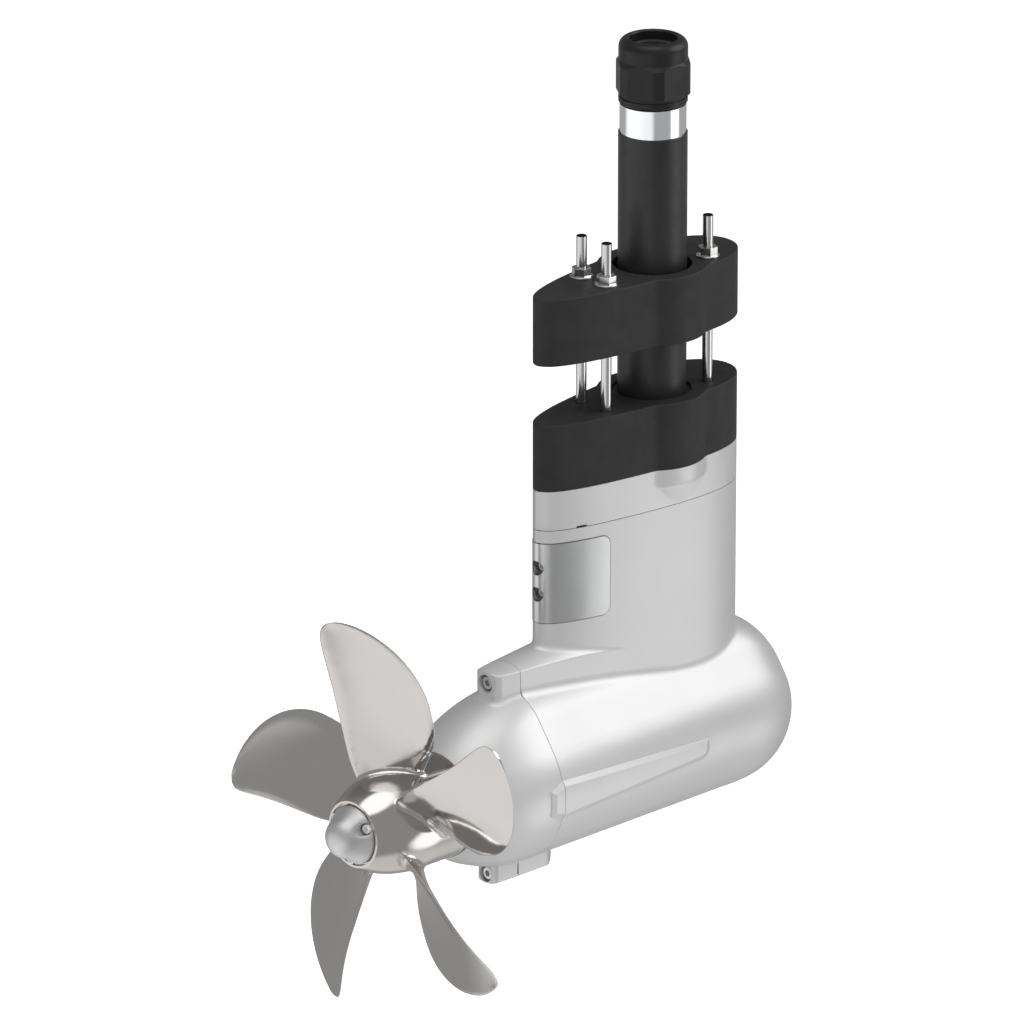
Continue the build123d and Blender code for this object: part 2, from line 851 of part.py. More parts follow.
cap_screw = socket_screw(cap_screw_radius, cap_screw_length, cap_screw_head_radius, cap_screw_head_height)
with BuildPart() as cap_screws:
    with Locations(*[(x, y, cap_top - head_clearance - cap_screw_head_height) for x, y in cap_screw_places]):
        add(cap_screw)


# Hull clamp
def clamp_block(z_low):
    """A clamp block with its tube hole and stud holes, standing on the level z_low."""
    with BuildPart(mode=Mode.PRIVATE) as block:
        extrude(block_outline(z_low), amount=block_height)
        rims = block.faces().sort_by(Axis.Z)
        fillet(rims[0].edges() + rims[-1].edges(), block_edge)
        with Locations((0, 0, z_low)):
            Cylinder(block_tube_radius, 3 * block_height, mode=Mode.SUBTRACT)
        with Locations(*[(x, y, z_low) for x, y in stud_places]):
            Cylinder(stud_radius + stud_clearance, 3 * block_height, mode=Mode.SUBTRACT)
    return block.part


clamp = clamp_block(0)
with BuildPart() as lower_block:
    add(clamp.translate((0, 0, hull_face - block_height)))

with BuildPart() as upper_block:
    add(clamp.translate((0, 0, upper_block_bottom)))

with BuildPart() as clamp_studs:
    with Locations(*[(x, y, cap_top - stud_root) for x, y in stud_places]):
        Cylinder(stud_radius, stud_top - cap_top + stud_root, align=(Align.CENTER, Align.CENTER, Align.MIN))
    chamfer(clamp_studs.edges().group_by(Axis.Z)[-1] + clamp_studs.edges().group_by(Axis.Z)[0], stud_point)

with BuildPart(mode=Mode.PRIVATE) as flange_nut:
    Cylinder(
        flange_nut_flange_radius,
        flange_nut_flange_height,
        align=(Align.CENTER, Align.CENTER, Align.MIN),
    )
    fillet(flange_nut.edges().group_by(Axis.Z)[-1], flange_nut_flange_height / 3)
    with BuildSketch(Plane.XY):
        RegularPolygon(flange_nut_flats / 2, 6, major_radius=False)
    extrude(amount=flange_nut_height)
    Cylinder(stud_radius + thread_clearance, 3 * flange_nut_height, mode=Mode.SUBTRACT)
    chamfer(flange_nut.edges().group_by(Axis.Z)[-1].filter_by(GeomType.CIRCLE), thread_clearance * 10)

with BuildPart() as flange_nuts:
    with Locations(*[(x, y, upper_block_top) for x, y in stud_places]):
        add(flange_nut.part)

# Mounting tube
with BuildPart() as mounting_tube:
    revolve(tower_face(cap_bottom, tube_top, tube_bore_radius, tube_radius))
    revolve(tower_face(cap_bottom, cap_bottom + tube_flange_height, tube_bore_radius, tube_flange_radius))

with BuildPart() as tube_sleeve:
    revolve(tower_face(cap_top, sleeve_top, tube_radius, sleeve_radius))

with BuildPart() as tube_seal:
    seal_top = hull_face - tube_seal_top
    revolve(tower_face(seal_top - tube_seal_height, seal_top, sleeve_radius, block_tube_radius))

# Cable gland
gland_flange_top = tube_top + gland_flange_height
neck_top = gland_flange_top + gland_neck_height
cup_floor = neck_top - gland_cup_depth
nut_bottom = gland_flange_top + gland_gasket_height + running_gap
nut_top = nut_bottom + gland_nut_height
seal_floor = cup_floor + running_gap
claw_floor = seal_floor + gland_seal_height
claw_top = claw_floor + claw_height

with BuildPart() as gland_body:
    revolve(tower_face(tube_top, gland_flange_top, gland_bore_radius, gland_flange_radius))
    flange_rims = gland_body.edges().filter_by(GeomType.CIRCLE).group_by(Axis.Z)[0]
    chamfer(flange_rims.sort_by(SortBy.RADIUS)[-1], gland_flange_edge)
    revolve(tower_face(tube_top - gland_spigot_length, tube_top, gland_bore_radius, tube_bore_radius))
    revolve(tower_face(gland_flange_top, neck_top, gland_bore_radius, gland_neck_radius))
    revolve(tower_face(cup_floor, neck_top, 0, gland_cup_radius), mode=Mode.SUBTRACT)

with BuildPart() as gland_gasket:
    gasket_top = gland_flange_top + gland_gasket_height
    revolve(tower_face(gland_flange_top, gasket_top, gland_neck_radius, gland_gasket_radius))

with BuildPart() as gland_seal:
    revolve(tower_face(seal_floor, claw_floor, cable_radius, gland_seal_radius))

with BuildPart() as gland_claw:
    revolve(tower_face(claw_floor, claw_top, claw_bore_radius, claw_radius))

with BuildPart() as gland_nut:
    hex_top = nut_bottom + gland_nut_hex_height
    with BuildSketch(Plane.XY.offset(nut_bottom)):
        RegularPolygon(gland_nut_flats / 2, 6, major_radius=False, rotation=gland_nut_angle)
        Circle(gland_nut_land_radius, mode=Mode.INTERSECT)
    extrude(amount=gland_nut_hex_height + gland_nut_chamfer_height)
    with BuildSketch(Plane.XZ):
        with BuildLine():
            Polyline(
                (0, nut_bottom),
                (gland_nut_land_radius + 1, nut_bottom),
                (gland_nut_land_radius + 1, hex_top),
                (gland_nut_land_radius, hex_top),
                (gland_nut_dome_radius, hex_top + gland_nut_chamfer_height),
                (0, hex_top + gland_nut_chamfer_height),
                close=True,
            )
        make_face()
    revolve(mode=Mode.INTERSECT)
    revolve(tower_face(hex_top, nut_top, 0, gland_nut_dome_radius))
    fillet(gland_nut.edges().filter_by(GeomType.CIRCLE).group_by(Axis.Z)[-1], gland_nut_dome_edge)
    revolve(
        tower_face(nut_bottom, neck_top + running_gap, 0, gland_neck_radius + thread_clearance),
        mode=Mode.SUBTRACT,
    )
    revolve(
        tower_face(nut_bottom, claw_top + thread_clearance, 0, claw_radius + thread_clearance),
        mode=Mode.SUBTRACT,
    )
    revolve(tower_face(nut_bottom, nut_top, 0, gland_mouth_radius), mode=Mode.SUBTRACT)
    mouth_rims = gland_nut.edges().filter_by(GeomType.CIRCLE).group_by(Axis.Z)[-1]
    chamfer(mouth_rims.sort_by(SortBy.RADIUS)[0], gland_mouth_edge)

# Stator
tooth_step = 360 / slot_count
with BuildPart() as stator_core:
    with BuildSketch(station(stack_aft_x)) as lamination:
        Circle(cavity_radius)
        Circle(slot_root_radius, mode=Mode.SUBTRACT)
        with PolarLocations(0, slot_count):
            with Locations(((slot_mouth_radius + slot_root_radius) / 2, 0)):
                Rectangle(slot_root_radius - slot_mouth_radius + 2, tooth_width)
        Circle(slot_mouth_radius)
        Circle(stator_bore_radius, mode=Mode.SUBTRACT)
        with PolarLocations(0, slot_count, start_angle=tooth_step / 2):
            with Locations((slot_mouth_radius, 0)):
                mouth_reach = 2 * (slot_mouth_radius - stator_bore_radius) + 2
                Rectangle(mouth_reach, slot_mouth_width, mode=Mode.SUBTRACT)
    extrude(amount=stack_fore_x - stack_aft_x)

stack_length = stack_fore_x - stack_aft_x
with BuildPart() as stator_coils:
    with BuildSketch(station(stack_aft_x - coil_end)):
        with PolarLocations(0, slot_count):
            with Locations(((coil_inner_radius + coil_outer_radius) / 2, 0)):
                Rectangle(coil_outer_radius - coil_inner_radius, tooth_width + 2 * coil_width)
    extrude(amount=stack_length + 2 * coil_end)
    with BuildSketch(station(stack_aft_x)):
        with PolarLocations(0, slot_count):
            with Locations(((coil_inner_radius + coil_outer_radius) / 2, 0)):
                Rectangle(2 * coil_outer_radius - 2 * coil_inner_radius, tooth_width)
    extrude(amount=stack_length, mode=Mode.SUBTRACT)
    fillet(stator_coils.edges().filter_by(Axis((0, 0, 0), (1, 0, 0))).filter_by(
        lambda edge: edge.length > stack_length + coil_end), coil_width / 3)

# Rotor
magnet_radius = stator_bore_radius - air_gap
rotor_radius = magnet_radius - magnet_thickness
with BuildPart() as rotor_core:
    with BuildSketch(station(stack_aft_x)):
        Circle(rotor_radius)
        Circle(shaft_radius, mode=Mode.SUBTRACT)
        with PolarLocations(rotor_hole_circle, rotor_hole_count):
            Circle(rotor_hole_radius, mode=Mode.SUBTRACT)
    extrude(amount=stack_length)

with BuildPart() as rotor_magnets:
    with BuildSketch(station(stack_aft_x)):
        Circle(magnet_radius)
        Circle(rotor_radius, mode=Mode.SUBTRACT)
        with PolarLocations(0, magnet_count):
            with Locations((rotor_radius, 0)):
                Rectangle(4 * magnet_thickness, magnet_space, mode=Mode.SUBTRACT)
    extrude(amount=stack_length)

# Shaft
with BuildPart() as prop_shaft:
    revolve(ring_face(shaft_thread_x, shaft_step_x, 0, shaft_radius), axis=motor_axis)
    revolve(ring_face(shaft_step_x, shaft_fore_x, 0, shaft_nose_radius), axis=motor_axis)
    revolve(ring_face(shaft_aft_x, shaft_thread_x, 0, shaft_thread_radius), axis=motor_axis)
    chamfer(prop_shaft.edges().filter_by(GeomType.CIRCLE).sort_by(Axis.X)[0], shaft_point)
    with Locations(Plane(origin=(drive_pin_x, 0, -axis_depth), x_dir=(1, 0, 0), z_dir=(0, 1, 0))):
        Cylinder(drive_pin_radius, 3 * shaft_radius, mode=Mode.SUBTRACT)

with BuildPart() as drive_pin:
    with Locations(Plane(origin=(drive_pin_x, 0, -axis_depth), x_dir=(1, 0, 0), z_dir=(0, 1, 0))):
        Cylinder(drive_pin_radius, drive_pin_length)
    chamfer(drive_pin.edges().filter_by(GeomType.CIRCLE), drive_pin_radius / 8)


# Bearings
def outer_race(x, width, radius, ball_circle):
    with BuildPart(mode=Mode.PRIVATE) as race:
        revolve(ring_face(x - width / 2, x + width / 2, ball_circle + race_gap, radius), axis=motor_axis)
        with BuildSketch(motor_profile):
            with Locations((x, ball_circle)):
                Circle(bearing_ball_radius + bearing_groove_play)
        revolve(axis=motor_axis, mode=Mode.SUBTRACT)
    return race.part


def inner_race(x, width, radius, ball_circle):
    with BuildPart(mode=Mode.PRIVATE) as race:
        revolve(ring_face(x - width / 2, x + width / 2, radius, ball_circle - race_gap), axis=motor_axis)
        with BuildSketch(motor_profile):
            with Locations((x, ball_circle)):
                Circle(bearing_ball_radius + bearing_groove_play)
        revolve(axis=motor_axis, mode=Mode.SUBTRACT)
    return race.part


def ball_set(x, ball_circle, count):
    with BuildPart(station(x), mode=Mode.PRIVATE) as balls:
        with PolarLocations(ball_circle, count):
            Sphere(bearing_ball_radius)
    return balls.part


def ball_cage(x, ball_circle, count):
    half = bearing_ball_radius + cage_margin
    with BuildPart(mode=Mode.PRIVATE) as cage:
        band = ring_face(x - half, x + half, ball_circle - cage_half, ball_circle + cage_half)
        revolve(band, axis=motor_axis)
        for step in range(count):
            turn = 2 * pi * step / count
            outward = (0, cos(turn), sin(turn))
            middle = (x, ball_circle * cos(turn), ball_circle * sin(turn) - axis_depth)
            with Locations(Plane(origin=middle, x_dir=(1, 0, 0), z_dir=outward)):
                Cylinder(bearing_ball_radius + thread_clearance, 6 * cage_half, mode=Mode.SUBTRACT)
    return cage.part


fore_bearing_x = bracket_aft_x + fore_bearing_width / 2
with BuildPart() as aft_bearing_outer:
    add(outer_race(aft_bearing_x, aft_bearing_width, aft_bearing_radius, aft_ball_circle))

with BuildPart() as aft_bearing_inner:
    add(inner_race(aft_bearing_x, aft_bearing_width, shaft_radius, aft_ball_circle))

with BuildPart() as aft_bearing_balls:
    add(ball_set(aft_bearing_x, aft_ball_circle, aft_ball_count))

with BuildPart() as aft_bearing_cage:
    add(ball_cage(aft_bearing_x, aft_ball_circle, aft_ball_count))

with BuildPart() as fore_bearing_outer:
    add(outer_race(fore_bearing_x, fore_bearing_width, fore_bearing_radius, fore_ball_circle))

with BuildPart() as fore_bearing_inner:
    add(inner_race(fore_bearing_x, fore_bearing_width, shaft_nose_radius, fore_ball_circle))

with BuildPart() as fore_bearing_balls:
    add(ball_set(fore_bearing_x, fore_ball_circle, fore_ball_count))

with BuildPart() as fore_bearing_cage:
    add(ball_cage(fore_bearing_x, fore_ball_circle, fore_ball_count))

with BuildPart() as bearing_clip:
    with BuildSketch(station(bearing_fore_face)):
        Circle(aft_bearing_radius + clip_depth)
        Circle(aft_bearing_radius - clip_reach, mode=Mode.SUBTRACT)
        with Locations((0, aft_bearing_radius)):
            Rectangle(2 * clip_reach, 4 * clip_reach, mode=Mode.SUBTRACT)
    extrude(amount=clip_width)

with BuildPart() as shaft_seals:
    for place in range(2):
        seal_x = seal_aft_x + seal_spacing * place
        lip_radius = shaft_radius + lip_clearance
        revolve(ring_face(seal_x, seal_x + seal_width, lip_radius, seal_radius), axis=motor_axis)

# Motor bracket
with BuildPart() as motor_bracket:
    boss_end = bracket_aft_x + bracket_boss_length
    bearing_end = bracket_aft_x + fore_bearing_width
    revolve(ring_face(bracket_aft_x, bracket_seat_x, 0, cavity_radius), axis=motor_axis)
    revolve(ring_face(bracket_aft_x, boss_end, 0, bracket_boss_radius), axis=motor_axis)
    revolve(
        ring_face(bracket_aft_x, bearing_end, 0, fore_bearing_radius),
        axis=motor_axis,
        mode=Mode.SUBTRACT,
    )
    revolve(ring_face(bracket_aft_x, boss_end, 0, bracket_lip_radius), axis=motor_axis, mode=Mode.SUBTRACT)
    with BuildSketch(station(bracket_aft_x)):
        with PolarLocations(bracket_screw_circle, bracket_screw_count, start_angle=45):
            Circle(bracket_screw_radius)
        with PolarLocations(lead_circle, lead_count, start_angle=lead_angle):
            Circle(lead_hole_radius)
    extrude(amount=bracket_thickness, mode=Mode.SUBTRACT)

bracket_screw = socket_screw(
    bracket_screw_radius,
    bracket_screw_length,
    bracket_screw_head_radius,
    bracket_screw_head_height,
)
screw_seat = Plane(origin=(bracket_aft_x, 0, -axis_depth), x_dir=(0, 1, 0), z_dir=(-1, 0, 0))
with BuildPart() as bracket_screws:
    with Locations(screw_seat):
        with PolarLocations(bracket_screw_circle, bracket_screw_count, start_angle=45):
            add(bracket_screw)

# Controller
with BuildPart() as phase_leads:
    with BuildSketch(station(stack_fore_x + coil_end)):
        with PolarLocations(lead_circle, lead_count, start_angle=lead_angle):
            Circle(lead_radius)
    extrude(amount=board_x - stack_fore_x - coil_end)

with BuildPart() as board_posts:
    with BuildSketch(station(bracket_aft_x + bracket_thickness)):
        with PolarLocations(post_circle, post_count, start_angle=post_angle):
            Circle(post_radius)
    extrude(amount=board_x - bracket_aft_x - bracket_thickness)

with BuildPart() as controller_board:
    with BuildSketch(station(board_x)):
        Circle(board_radius)
    extrude(amount=board_thickness)

board_face = board_x + board_thickness
with BuildPart() as capacitors:
    with BuildSketch(station(board_face)):
        with PolarLocations(capacitor_circle, capacitor_count, start_angle=45):
            Circle(capacitor_radius)
    extrude(amount=capacitor_height)
    fillet(capacitors.edges().group_by(Axis.X)[-1], capacitor_radius / 7)

with BuildPart() as power_modules:
    with BuildSketch(station(board_face)):
        with PolarLocations(module_circle, module_count):
            Rectangle(module_size[0], module_size[1])
    extrude(amount=module_size[2])

with BuildPart() as cable_terminals:
    with BuildSketch(station(board_x)):
        with Locations((-terminal_spacing / 2, terminal_height), (terminal_spacing / 2, terminal_height)):
            Rectangle(terminal_size[1], terminal_size[2])
    extrude(amount=-terminal_size[0])

with BuildPart() as encoder_board:
    with BuildSketch(station(bracket_aft_x + bracket_boss_length)):
        Circle(encoder_board_radius)
    extrude(amount=board_thickness)
    with BuildSketch(station(bracket_aft_x + bracket_boss_length)):
        Rectangle(encoder_chip_side, encoder_chip_side)
    extrude(amount=-encoder_chip_height)

with BuildPart() as encoder_magnet:
    magnet_end = shaft_fore_x + encoder_magnet_height
    revolve(ring_face(shaft_fore_x, magnet_end, 0, encoder_magnet_radius), axis=motor_axis)


# Propeller
def blade_line(radius):
    """Axial place, angle from up toward port, slope and chord of the blade's middle line."""
    share = (radius - hub_root_radius) / (prop_radius - hub_root_radius)
    pitch = pitch_root + (pitch_tip - pitch_root) * share
    chord = sum(term * share**power for power, term in enumerate(chord_terms))
    chord = chord * sqrt(max(1 - share**6, 0))
    skew = sum(term * share ** (power + 1) for power, term in enumerate(skew_terms))
    rake = sum(term * share ** (power + 1) for power, term in enumerate(rake_terms))
    return blade_x + rake, radians(prop_phase + skew), atan2(pitch, 2 * pi * radius), chord


tip_angle = blade_line(prop_radius)[1]


def blade_edge(height, side):
    """Sideways place of the leading (1) or trailing (-1) edge at a height along the tip line."""
    low = height
    high = prop_radius
    for _ in range(40):
        radius = (low + high) / 2
        angle, slope, chord = blade_line(radius)[1:]
        swing = angle - tip_angle - side * chord / 2 * cos(slope) / radius
        if radius * cos(swing) < height:
            low = radius
        else:
            high = radius
    return radius * sin(swing)


def blade_middle(height, y):
    """Axial place of the blade's middle surface."""
    radius = sqrt(height**2 + y**2)
    x, angle, slope, chord = blade_line(radius)
    return x + (angle - tip_angle - atan2(y, height)) * radius * sin(slope) / cos(slope)


def blade_section(height):
    """The blade's cambered section on the plane across its tip line at a height from the axis."""
    lead_y = blade_edge(height, 1)
    trail_y = blade_edge(height, -1)
    rise = blade_middle(height, lead_y) - blade_middle(height, trail_y)
    chord = sqrt(rise**2 + (lead_y - trail_y) ** 2)
    normal = ((trail_y - lead_y) / chord, rise / chord)
    share = (height - hub_root_radius) / (prop_radius - hub_root_radius)
    thickness = blade_root_thickness + (blade_tip_thickness - blade_root_thickness) * share
    plane = Plane(
        origin=(0, height * sin(tip_angle), height * cos(tip_angle) - axis_depth),
        x_dir=(1, 0, 0),
        z_dir=(0, sin(tip_angle), cos(tip_angle)),
    )
    with BuildSketch(plane, mode=Mode.PRIVATE) as section:
        with BuildLine():
            for face in (1, -1):
                points = []
                for step in range(blade_points + 1):
                    across = cos(pi * step / blade_points)
                    fullness = max(1 - across**2, 0)
                    y = (lead_y + trail_y + across * (lead_y - trail_y)) / 2
                    bow = blade_camber * chord * fullness + face * thickness / 2 * fullness**blade_edge_power
                    points.append((blade_middle(height, y) + bow * normal[0], y + bow * normal[1]))
                Spline(*points)
        make_face()
    return section.sketch


with BuildPart() as blade:
    blade_reach = prop_radius - blade_inner_height
    spread = [sin(radians(blade_outer_share * i / blade_sections)) for i in range(blade_sections + 1)]
    loft([blade_section(blade_inner_height + blade_reach * place) for place in spread])


def is_blade_root(edge):
    """True for an edge where a blade grows out of the hub."""
    middle = edge.position_at(0.5)
    reach = sqrt(middle.Y**2 + (middle.Z + axis_depth) ** 2)
    on_hub = hub_aft_radius + edge_round < reach < hub_radius + edge_round
    on_hub = on_hub and middle.X < hub_fore_x - blade_root_fillet
    return on_hub and edge.geom_type == GeomType.BSPLINE and edge.length > blade_root_thickness


blades = [blade.part.rotate(motor_axis, -360 / blade_count * i) for i in range(blade_count)]
with BuildPart() as propeller:
    with BuildSketch(motor_profile):
        with BuildLine():
            hub_stretch = (hub_fullness_x - hub_aft_x) / sqrt(1 - (hub_aft_radius / hub_radius) ** 2)
            hub_angles = [asin((hub_fullness_x - hub_aft_x) / hub_stretch) * i / 4 for i in range(5)]
            Polyline((hub_aft_x, 0), (hub_fore_x, 0), (hub_fore_x, hub_radius), (hub_fullness_x, hub_radius))
            Spline(
                *[(hub_fullness_x - hub_stretch * sin(a), hub_radius * cos(a)) for a in hub_angles],
                tangents=((-1, 0), (-hub_stretch * cos(hub_angles[-1]), -hub_radius * sin(hub_angles[-1]))),
            )
            Line((hub_aft_x, hub_aft_radius), (hub_aft_x, 0))
        make_face()
    revolve(axis=motor_axis)
    for copy in blades:
        add(copy)
    fillet(propeller.edges().filter_by(is_blade_root), blade_root_fillet)
    revolve(ring_face(shaft_thread_x, hub_fore_x, 0, shaft_radius), axis=motor_axis, mode=Mode.SUBTRACT)
    revolve(
        ring_face(hub_aft_x, shaft_thread_x, 0, hub_nut_room_radius),
        axis=motor_axis,
        mode=Mode.SUBTRACT,
    )
    hub_lip_x = hub_aft_x + hub_lip_depth
    revolve(ring_face(hub_aft_x, hub_lip_x, 0, hub_lip_radius), axis=motor_axis, mode=Mode.SUBTRACT)
    with Locations(Plane(origin=(drive_pin_x, 0, -axis_depth), x_dir=(1, 0, 0), z_dir=(0, 1, 0))):
        Cylinder(drive_pin_radius, drive_pin_length, mode=Mode.SUBTRACT)
    with Locations(((drive_pin_x + hub_fore_x) / 2, 0, -axis_depth)):
        Box(hub_fore_x - drive_pin_x, drive_pin_length, 2 * drive_pin_radius, mode=Mode.SUBTRACT)
    cone_floor = hub_aft_x + hub_lip_depth
    cone_screw_seat = hub_aft_x + hub_lip_depth - cone_screw_floor
    with BuildSketch(station(cone_screw_seat)):
        with PolarLocations(cone_screw_circle, cone_screw_count, start_angle=30):
            Circle(small_screw_radius)
    extrude(amount=cone_screw_length, mode=Mode.SUBTRACT)

prop_nut_seat = shaft_thread_x - prop_washer_thickness
with BuildPart() as prop_washer:
    revolve(
        ring_face(prop_nut_seat, shaft_thread_x, shaft_thread_radius, prop_washer_radius),
        axis=motor_axis,
    )

with BuildPart() as prop_nut:
    with BuildSketch(station(prop_nut_seat)):
        RegularPolygon(prop_nut_flats / 2, 6, major_radius=False)
        Circle(shaft_thread_radius, mode=Mode.SUBTRACT)
    extrude(amount=-prop_nut_height)

with BuildPart() as cone_anode:
    with BuildSketch(motor_profile):
        with BuildLine():
            Polyline(
                (cone_floor, 0),
                (cone_floor, cone_radius),
                (cone_floor - cone_flange, cone_radius),
                (hub_aft_x - cone_shoulder[1], cone_shoulder[0]),
            )
            ThreePointArc(
                (hub_aft_x - cone_shoulder[1], cone_shoulder[0]),
                (hub_aft_x - cone_length + cone_nose, cone_shoulder[0] / 2 + cone_nose),
                (hub_aft_x - cone_length, 0),
            )
            Line((hub_aft_x - cone_length, 0), (cone_floor, 0))
        make_face()
    revolve(axis=motor_axis)
    with BuildSketch(station(cone_floor)):
        with PolarLocations(cone_screw_circle, cone_screw_count, start_angle=30):
            Circle(small_screw_radius)
    extrude(amount=-cone_length, mode=Mode.SUBTRACT)
    with BuildSketch(station(cone_screw_seat)):
        with PolarLocations(cone_screw_circle, cone_screw_count, start_angle=30):
            Circle(cone_pocket_radius)
    extrude(amount=-cone_length, mode=Mode.SUBTRACT)

cone_screw = socket_screw(
    small_screw_radius,
    cone_screw_length,
    small_screw_head_radius,
    small_screw_head_height,
)
cone_screw_plane = Plane(origin=(cone_screw_seat, 0, -axis_depth), x_dir=(0, 1, 0), z_dir=(-1, 0, 0))
with BuildPart() as cone_screws:
    with Locations(cone_screw_plane):
        with PolarLocations(cone_screw_circle, cone_screw_count, start_angle=-30):
            add(cone_screw)

pod_housing.part.label = "pod_housing"
export_step(pod_housing.part, "parts/pod_housing.step")
aft_housing.part.label = "aft_housing"
export_step(aft_housing.part, "parts/aft_housing.step")
housing_bolts.part.label = "housing_bolts"
export_step(housing_bolts.part, "parts/housing_bolts.step")
housing_seal.part.label = "housing_seal"
export_step(housing_seal.part, "parts/housing_seal.step")
strut_cap.part.label = "strut_cap"
export_step(strut_cap.part, "parts/strut_cap.step")
cap_gasket.part.label = "cap_gasket"
export_step(cap_gasket.part, "parts/cap_gasket.step")
cap_screws.part.label = "cap_screws"
export_step(cap_screws.part, "parts/cap_screws.step")
lower_block.part.label = "lower_block"
export_step(lower_block.part, "parts/lower_block.step")
upper_block.part.label = "upper_block"
export_step(upper_block.part, "parts/upper_block.step")
clamp_studs.part.label = "clamp_studs"
export_step(clamp_studs.part, "parts/clamp_studs.step")
flange_nuts.part.label = "flange_nuts"
export_step(flange_nuts.part, "parts/flange_nuts.step")
mounting_tube.part.label = "mounting_tube"
export_step(mounting_tube.part, "parts/mounting_tube.step")
tube_sleeve.part.label = "tube_sleeve"
export_step(tube_sleeve.part, "parts/tube_sleeve.step")
tube_seal.part.label = "tube_seal"
export_step(tube_seal.part, "parts/tube_seal.step")
gland_body.part.label = "gland_body"
export_step(gland_body.part, "parts/gland_body.step")
gland_gasket.part.label = "gland_gasket"
export_step(gland_gasket.part, "parts/gland_gasket.step")
gland_seal.part.label = "gland_seal"
export_step(gland_seal.part, "parts/gland_seal.step")
gland_claw.part.label = "gland_claw"
export_step(gland_claw.part, "parts/gland_claw.step")
gland_nut.part.label = "gland_nut"
export_step(gland_nut.part, "parts/gland_nut.step")
strut_anode.part.label = "strut_anode"
export_step(strut_anode.part, "parts/strut_anode.step")
strut_anode_screws.part.label = "strut_anode_screws"
export_step(strut_anode_screws.part, "parts/strut_anode_screws.step")
stator_core.part.label = "stator_core"
export_step(stator_core.part, "parts/stator_core.step")
stator_coils.part.label = "stator_coils"
export_step(stator_coils.part, "parts/stator_coils.step")
rotor_core.part.label = "rotor_core"
export_step(rotor_core.part, "parts/rotor_core.step")
rotor_magnets.part.label = "rotor_magnets"
export_step(rotor_magnets.part, "parts/rotor_magnets.step")
prop_shaft.part.label = "prop_shaft"
export_step(prop_shaft.part, "parts/prop_shaft.step")
drive_pin.part.label = "drive_pin"
export_step(drive_pin.part, "parts/drive_pin.step")
aft_bearing_outer.part.label = "aft_bearing_outer"
export_step(aft_bearing_outer.part, "parts/aft_bearing_outer.step")
aft_bearing_inner.part.label = "aft_bearing_inner"
export_step(aft_bearing_inner.part, "parts/aft_bearing_inner.step")
aft_bearing_balls.part.label = "aft_bearing_balls"
export_step(aft_bearing_balls.part, "parts/aft_bearing_balls.step")
aft_bearing_cage.part.label = "aft_bearing_cage"
export_step(aft_bearing_cage.part, "parts/aft_bearing_cage.step")
fore_bearing_outer.part.label = "fore_bearing_outer"
export_step(fore_bearing_outer.part, "parts/fore_bearing_outer.step")
fore_bearing_inner.part.label = "fore_bearing_inner"
export_step(fore_bearing_inner.part, "parts/fore_bearing_inner.step")
fore_bearing_balls.part.label = "fore_bearing_balls"
export_step(fore_bearing_balls.part, "parts/fore_bearing_balls.step")
fore_bearing_cage.part.label = "fore_bearing_cage"
export_step(fore_bearing_cage.part, "parts/fore_bearing_cage.step")
bearing_clip.part.label = "bearing_clip"
export_step(bearing_clip.part, "parts/bearing_clip.step")
shaft_seals.part.label = "shaft_seals"
export_step(shaft_seals.part, "parts/shaft_seals.step")
motor_bracket.part.label = "motor_bracket"
export_step(motor_bracket.part, "parts/motor_bracket.step")
bracket_screws.part.label = "bracket_screws"
export_step(bracket_screws.part, "parts/bracket_screws.step")
phase_leads.part.label = "phase_leads"
export_step(phase_leads.part, "parts/phase_leads.step")
board_posts.part.label = "board_posts"
export_step(board_posts.part, "parts/board_posts.step")
controller_board.part.label = "controller_board"
export_step(controller_board.part, "parts/controller_board.step")
capacitors.part.label = "capacitors"
export_step(capacitors.part, "parts/capacitors.step")
power_modules.part.label = "power_modules"
export_step(power_modules.part, "parts/power_modules.step")
cable_terminals.part.label = "cable_terminals"
export_step(cable_terminals.part, "parts/cable_terminals.step")
encoder_board.part.label = "encoder_board"
export_step(encoder_board.part, "parts/encoder_board.step")
encoder_magnet.part.label = "encoder_magnet"
export_step(encoder_magnet.part, "parts/encoder_magnet.step")
propeller.part.label = "propeller"
export_step(propeller.part, "parts/propeller.step")
prop_washer.part.label = "prop_washer"
export_step(prop_washer.part, "parts/prop_washer.step")
prop_nut.part.label = "prop_nut"
export_step(prop_nut.part, "parts/prop_nut.step")
cone_anode.part.label = "cone_anode"
export_step(cone_anode.part, "parts/cone_anode.step")
cone_screws.part.label = "cone_screws"
export_step(cone_screws.part, "parts/cone_screws.step")
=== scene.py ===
"""Looks of the electric pod drive: its materials, and the studio and camera around it.

Lengths are in metres, except for the camera's sensor and lens, and angles in degrees."""
import math
import bpy
from mathutils import Matrix, Vector


